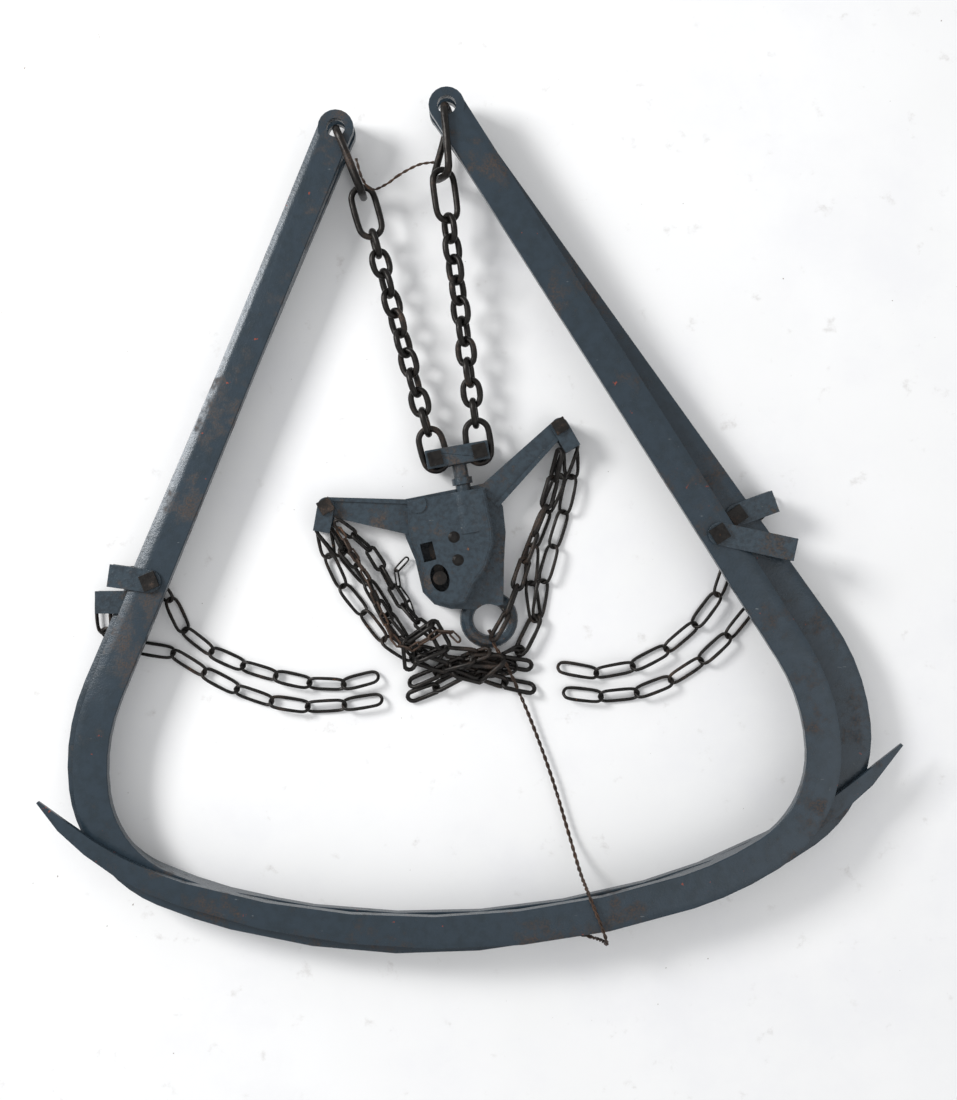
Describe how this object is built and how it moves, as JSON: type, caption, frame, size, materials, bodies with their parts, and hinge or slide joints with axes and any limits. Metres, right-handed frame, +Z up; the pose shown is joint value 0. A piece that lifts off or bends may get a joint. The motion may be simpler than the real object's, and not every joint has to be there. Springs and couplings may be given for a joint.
{
  "type": "hay grapple fork",
  "caption": "Folding lifting fork lying closed: paired curved flat-bar tines crossing at the bottom, hung by chains from a crossbar above a cast trip head with a ring",
  "frame": {"origin": "centre of the bounding box in X and Y, at its lowest point in Z", "axes": "Z up from the floor that the fork lies on; +Y from the crossed tines to the tine eyes; X from the left knees to the right knees; Z is the thin way"},
  "size_m": [0.9186, 0.9152, 0.0763],
  "materials": {
    "old_paint": "old blue-grey paint, worn and scratched, with rust",
    "bare_iron": "brown-black bare iron"
  },
  "bodies": {
    "crossbar": {"crossbar_strap_back": "old_paint", "crossbar_strap_front": "old_paint", "crossbar_bolt_left": "bare_iron", "crossbar_bolt_right": "bare_iron", "swivel_post": "old_paint"},
    "head": {"back_casting": "old_paint", "front_cover": "old_paint", "cover_rivet_1": "bare_iron", "cover_rivet_2": "bare_iron", "wing_chains": "bare_iron", "trip_chain": "bare_iron", "wing_clevis_left": "old_paint", "wing_bolt_left": "bare_iron", "wing_clevis_right": "old_paint", "wing_bolt_right": "bare_iron"},
    "latch": {"trip_latch": "bare_iron"},
    "chain_left": {"chain_left_end_link": "bare_iron", "chain_left_link_1": "bare_iron", "chain_left_link_2": "bare_iron", "chain_left_link_3": "bare_iron", "chain_left_link_4": "bare_iron", "chain_left_link_5": "bare_iron", "chain_left_link_6": "bare_iron", "chain_left_link_7": "bare_iron", "chain_left_link_8": "bare_iron", "chain_left_link_9": "bare_iron", "chain_left_link_10": "bare_iron", "chain_left_second_link": "bare_iron", "chain_left_big_link": "bare_iron"},
    "tine_left_front": {"tine_left_front": "old_paint", "knee_clevis_left_front": "old_paint", "knee_bolt_left_front": "bare_iron", "knee_chain_left_front": "bare_iron"},
    "tine_left_back": {"tine_left_back": "old_paint", "knee_clevis_left_back": "old_paint", "knee_bolt_left_back": "bare_iron", "knee_chain_left_back": "bare_iron"},
    "chain_right": {"chain_right_end_link": "bare_iron", "chain_right_link_1": "bare_iron", "chain_right_link_2": "bare_iron", "chain_right_link_3": "bare_iron", "chain_right_link_4": "bare_iron", "chain_right_link_5": "bare_iron", "chain_right_link_6": "bare_iron", "chain_right_link_7": "bare_iron", "chain_right_link_8": "bare_iron", "chain_right_link_9": "bare_iron", "chain_right_link_10": "bare_iron", "chain_right_second_link": "bare_iron", "chain_right_big_link": "bare_iron"},
    "tine_right_front": {"tine_right_front": "old_paint", "knee_clevis_right_front": "old_paint", "knee_bolt_right_front": "bare_iron", "knee_chain_right_front": "bare_iron"},
    "tine_right_back": {"tine_right_back": "old_paint", "knee_clevis_right_back": "old_paint", "knee_bolt_right_back": "bare_iron", "knee_chain_right_back": "bare_iron"}
  },
  "joints": [
    {"name": "head_swivel", "type": "hinge", "parent": "crossbar", "child": "head", "pos_m": [-0.0099, 0.04428, 0.0233], "axis": [-0.1736, 0.9848, 0], "range_deg": [-4, 4]},
    {"name": "latch_pivot", "type": "hinge", "parent": "head", "child": "latch", "pos_m": [-0.03339, -0.05917, 0.0193], "axis": [0, 0, 1], "range_deg": [0, 8], "stiffness_Nm_per_rad": 0.2},
    {"name": "chain_left_swing", "type": "hinge", "parent": "crossbar", "child": "chain_left", "pos_m": [-0.03852, 0.06837, 0.0233], "axis": [0, 0, 1], "range_deg": [0, 4]},
    {"name": "tine_left_front_swing", "type": "hinge", "parent": "chain_left", "child": "tine_left_front", "pos_m": [-0.14381, 0.4181, 0.0333], "axis": [0, 0, -1], "range_deg": [0, 35]},
    {"name": "tine_left_back_swing", "type": "hinge", "parent": "chain_left", "child": "tine_left_back", "pos_m": [-0.14381, 0.4181, 0.0333], "axis": [0, 0, -1], "range_deg": [0, 35]},
    {"name": "chain_right_swing", "type": "hinge", "parent": "crossbar", "child": "chain_right", "pos_m": [0.00875, 0.07671, 0.0233], "axis": [0, 0, -1], "range_deg": [0, 4]},
    {"name": "tine_right_front_swing", "type": "hinge", "parent": "chain_right", "child": "tine_right_front", "pos_m": [-0.02597, 0.43862, 0.0463], "axis": [0, 0, 1], "range_deg": [0, 35]},
    {"name": "tine_right_back_swing", "type": "hinge", "parent": "chain_right", "child": "tine_right_back", "pos_m": [-0.02597, 0.43862, 0.0463], "axis": [0, 0, 1], "range_deg": [0, 35]}
  ],
  "couplings": [
    {"joint": "tine_left_back_swing", "follows": "tine_left_front_swing", "ratio": 1},
    {"joint": "tine_right_back_swing", "follows": "tine_right_front_swing", "ratio": 1}
  ]
}
